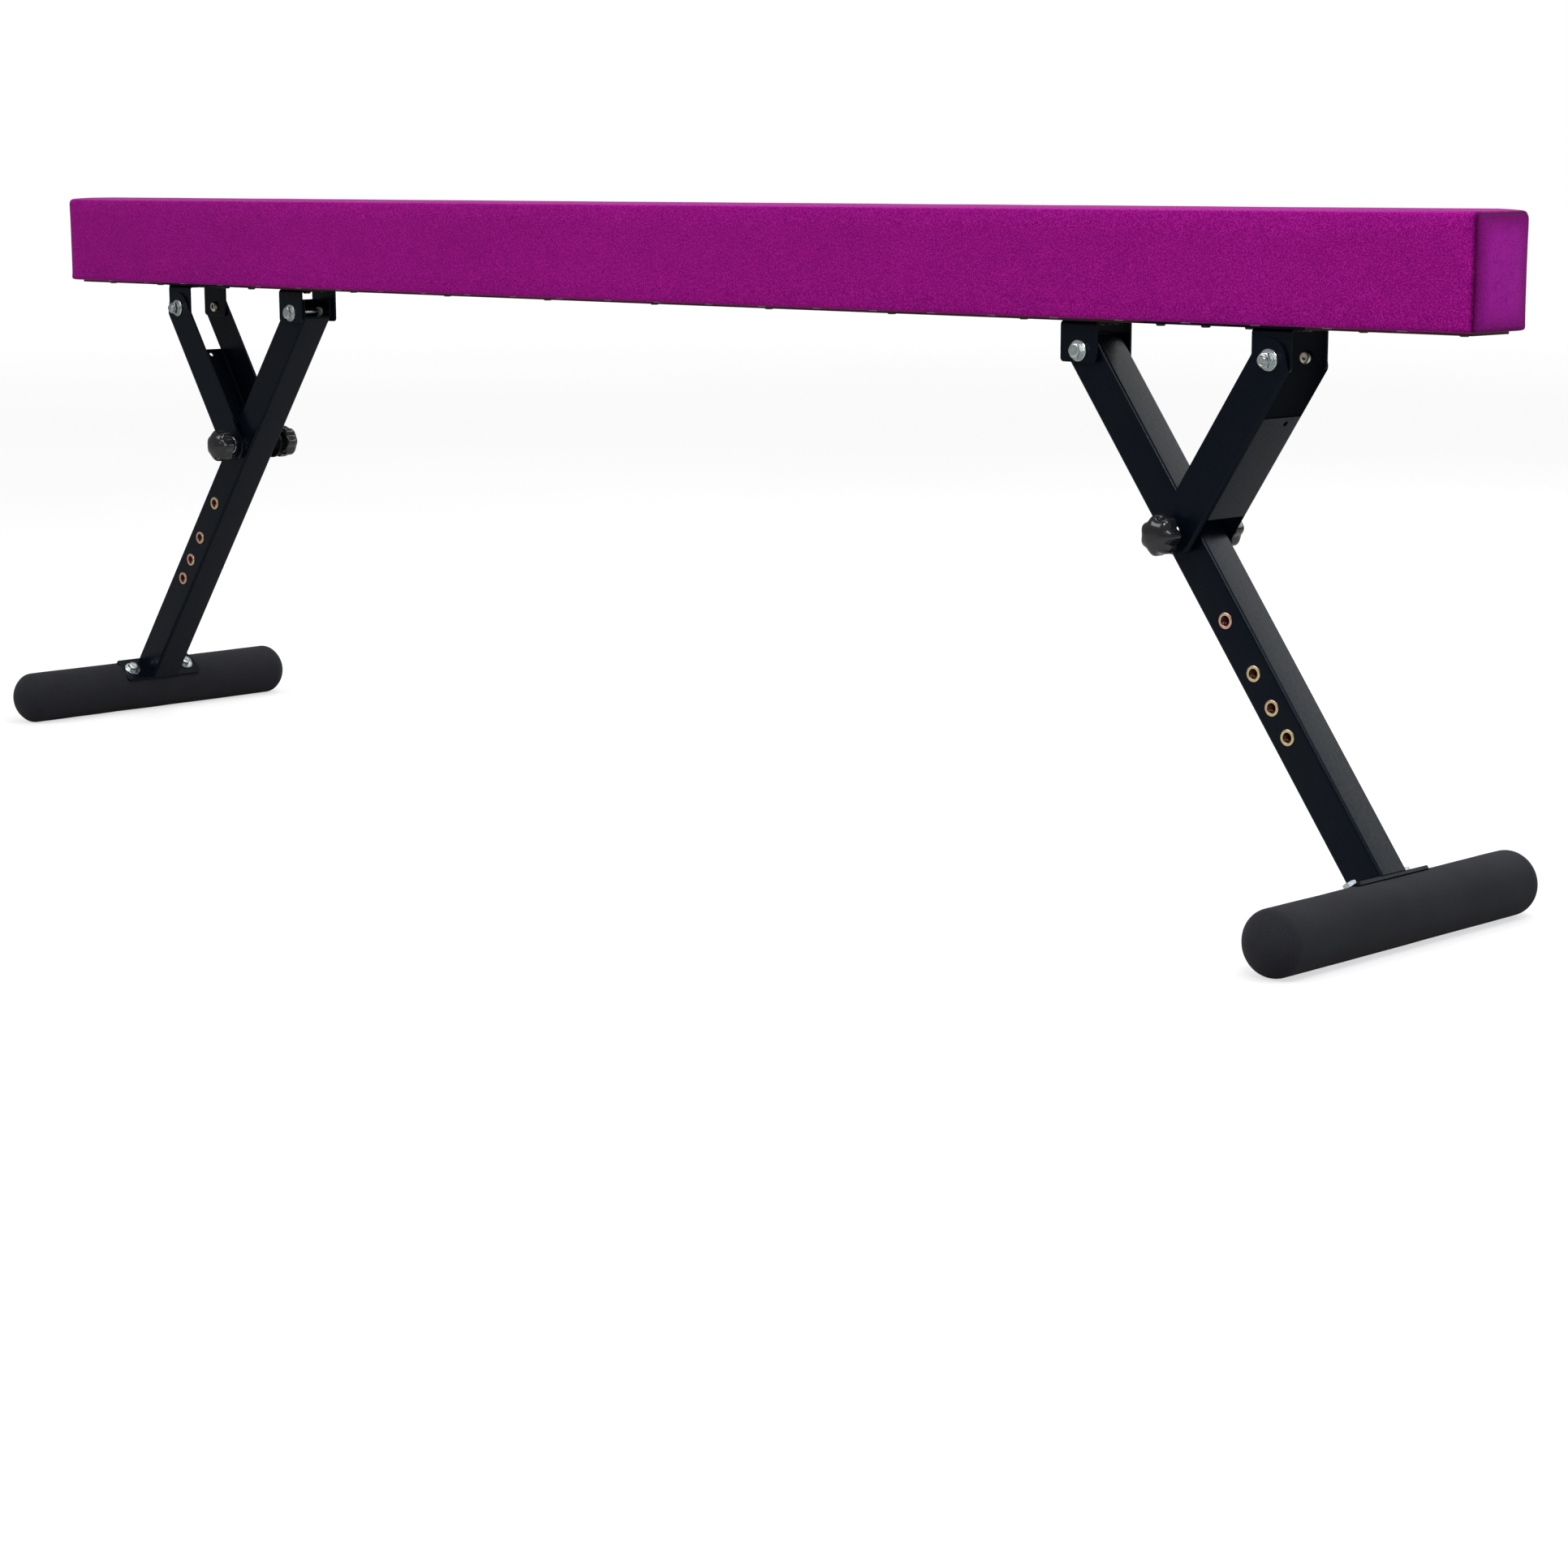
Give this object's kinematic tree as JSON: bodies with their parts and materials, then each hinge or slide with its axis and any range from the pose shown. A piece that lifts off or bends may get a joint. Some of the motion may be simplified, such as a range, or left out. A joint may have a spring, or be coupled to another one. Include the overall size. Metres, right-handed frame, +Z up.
{
  "type": "floor balance beam",
  "caption": "Long padded balance beam covered in purple suede-like cloth, on folding steel legs with pinned struts, star knobs and foam-covered foot bars, adjustable in height.",
  "frame": {"origin": "on the floor under the beam's centre", "axes": "+X along the beam, +Z up, -Y is the front, where the hinge bolts' heads are"},
  "size_m": [2.4384, 0.458, 0.7434],
  "materials": {
    "cover": "napped suede-like cloth",
    "foam": "open foam",
    "wood": "planed softwood",
    "slat_wood": "thin plywood",
    "black_steel": "satin black powder coat",
    "bare_steel": "plain steel",
    "zinc": "bright zinc plate",
    "insert": "yellow zinc and copper tones",
    "knob": "glossy black moulding",
    "foot_foam": "matte black foam rubber",
    "nylon": "black nylon"
  },
  "bodies": {
    "beam": {"beam_core": "wood", "beam_foam": "foam", "beam_cover": "cover", "cover_staples": "bare_steel", "bottom_slats": "slat_wood", "slat_screws": "zinc", "right_inner_bracket": "black_steel", "right_outer_bracket": "black_steel", "right_mount_plate": "black_steel", "right_bracket_screws": "zinc", "right_hinge_bolt": "zinc", "right_hinge_washers": "zinc", "right_hinge_nut": "zinc", "right_strut_bolts": "zinc", "right_strut_washers": "zinc", "right_strut_nuts": "zinc", "left_inner_bracket": "black_steel", "left_outer_bracket": "black_steel", "left_mount_plate": "black_steel", "left_bracket_screws": "zinc", "left_hinge_bolt": "zinc", "left_hinge_washers": "zinc", "left_hinge_nut": "zinc", "left_strut_bolts": "zinc", "left_strut_washers": "zinc", "left_strut_nuts": "zinc"},
    "right_leg": {"right_leg_tube": "black_steel", "right_leg_bushes": "nylon", "right_leg_inserts": "insert", "right_foot_plate": "black_steel", "right_foot_pipe": "bare_steel", "right_foot_sleeve": "foot_foam", "right_foot_bolts": "zinc", "right_foot_washers": "zinc"},
    "right_strut_arm": {"right_strut": "black_steel", "right_strut_spacers": "nylon"},
    "right_front_washer": {"right_front_knob_washer": "zinc"},
    "right_front_hand_knob": {"right_front_knob": "knob", "right_front_knob_stud": "zinc"},
    "right_rear_washer": {"right_rear_knob_washer": "zinc"},
    "right_rear_hand_knob": {"right_rear_knob": "knob", "right_rear_knob_stud": "zinc"},
    "left_leg": {"left_leg_tube": "black_steel", "left_leg_bushes": "nylon", "left_leg_inserts": "insert", "left_foot_plate": "black_steel", "left_foot_pipe": "bare_steel", "left_foot_sleeve": "foot_foam", "left_foot_bolts": "zinc", "left_foot_washers": "zinc"},
    "left_strut_arm": {"left_strut": "black_steel", "left_strut_spacers": "nylon"},
    "left_front_washer": {"left_front_knob_washer": "zinc"},
    "left_front_hand_knob": {"left_front_knob": "knob", "left_front_knob_stud": "zinc"},
    "left_rear_washer": {"left_rear_knob_washer": "zinc"},
    "left_rear_hand_knob": {"left_rear_knob": "knob", "left_rear_knob_stud": "zinc"}
  },
  "joints": [
    {"name": "right_leg_fold", "type": "hinge", "parent": "beam", "child": "right_leg", "pos_m": [0.7035, 0, 0.59087], "axis": [0, -1, 0], "range_deg": [0, 53.67]},
    {"name": "right_strut_fold", "type": "hinge", "parent": "beam", "child": "right_strut_arm", "pos_m": [0.962, 0, 0.59087], "axis": [0, -1, 0], "range_deg": [0, 123.06]},
    {"name": "right_front_knob_travel", "type": "slide", "parent": "right_strut_arm", "child": "right_front_washer", "axis": [0, -1, 0], "range_m": [0, 0.0121]},
    {"name": "right_front_knob_turn", "type": "hinge", "parent": "right_front_washer", "child": "right_front_hand_knob", "pos_m": [0.84065, 0, 0.40437], "axis": [0, -1, 0], "range_deg": [0, 2721]},
    {"name": "right_rear_knob_travel", "type": "slide", "parent": "right_strut_arm", "child": "right_rear_washer", "axis": [0, 1, 0], "range_m": [0, 0.0121]},
    {"name": "right_rear_knob_turn", "type": "hinge", "parent": "right_rear_washer", "child": "right_rear_hand_knob", "pos_m": [0.84065, 0, 0.40437], "axis": [0, 1, 0], "range_deg": [0, 2721]},
    {"name": "left_leg_fold", "type": "hinge", "parent": "beam", "child": "left_leg", "pos_m": [-0.7035, 0, 0.59087], "axis": [0, 1, 0], "range_deg": [0, 53.67]},
    {"name": "left_strut_fold", "type": "hinge", "parent": "beam", "child": "left_strut_arm", "pos_m": [-0.962, 0, 0.59087], "axis": [0, 1, 0], "range_deg": [0, 123.06]},
    {"name": "left_front_knob_travel", "type": "slide", "parent": "left_strut_arm", "child": "left_front_washer", "axis": [0, -1, 0], "range_m": [0, 0.0121]},
    {"name": "left_front_knob_turn", "type": "hinge", "parent": "left_front_washer", "child": "left_front_hand_knob", "pos_m": [-0.84065, 0, 0.40437], "axis": [0, -1, 0], "range_deg": [0, 2721]},
    {"name": "left_rear_knob_travel", "type": "slide", "parent": "left_strut_arm", "child": "left_rear_washer", "axis": [0, 1, 0], "range_m": [0, 0.0121]},
    {"name": "left_rear_knob_turn", "type": "hinge", "parent": "left_rear_washer", "child": "left_rear_hand_knob", "pos_m": [-0.84065, 0, 0.40437], "axis": [0, 1, 0], "range_deg": [0, 2721]}
  ],
  "couplings": [
    {"joint": "right_strut_fold", "follows": "right_leg_fold", "ratio": 2.2928},
    {"joint": "right_front_knob_travel", "follows": "right_front_knob_turn", "m_per_rad": 0.00025266},
    {"joint": "right_rear_knob_travel", "follows": "right_rear_knob_turn", "m_per_rad": 0.00025266},
    {"joint": "left_strut_fold", "follows": "left_leg_fold", "ratio": 2.2928},
    {"joint": "left_front_knob_travel", "follows": "left_front_knob_turn", "m_per_rad": 0.00025266},
    {"joint": "left_rear_knob_travel", "follows": "left_rear_knob_turn", "m_per_rad": 0.00025266}
  ]
}
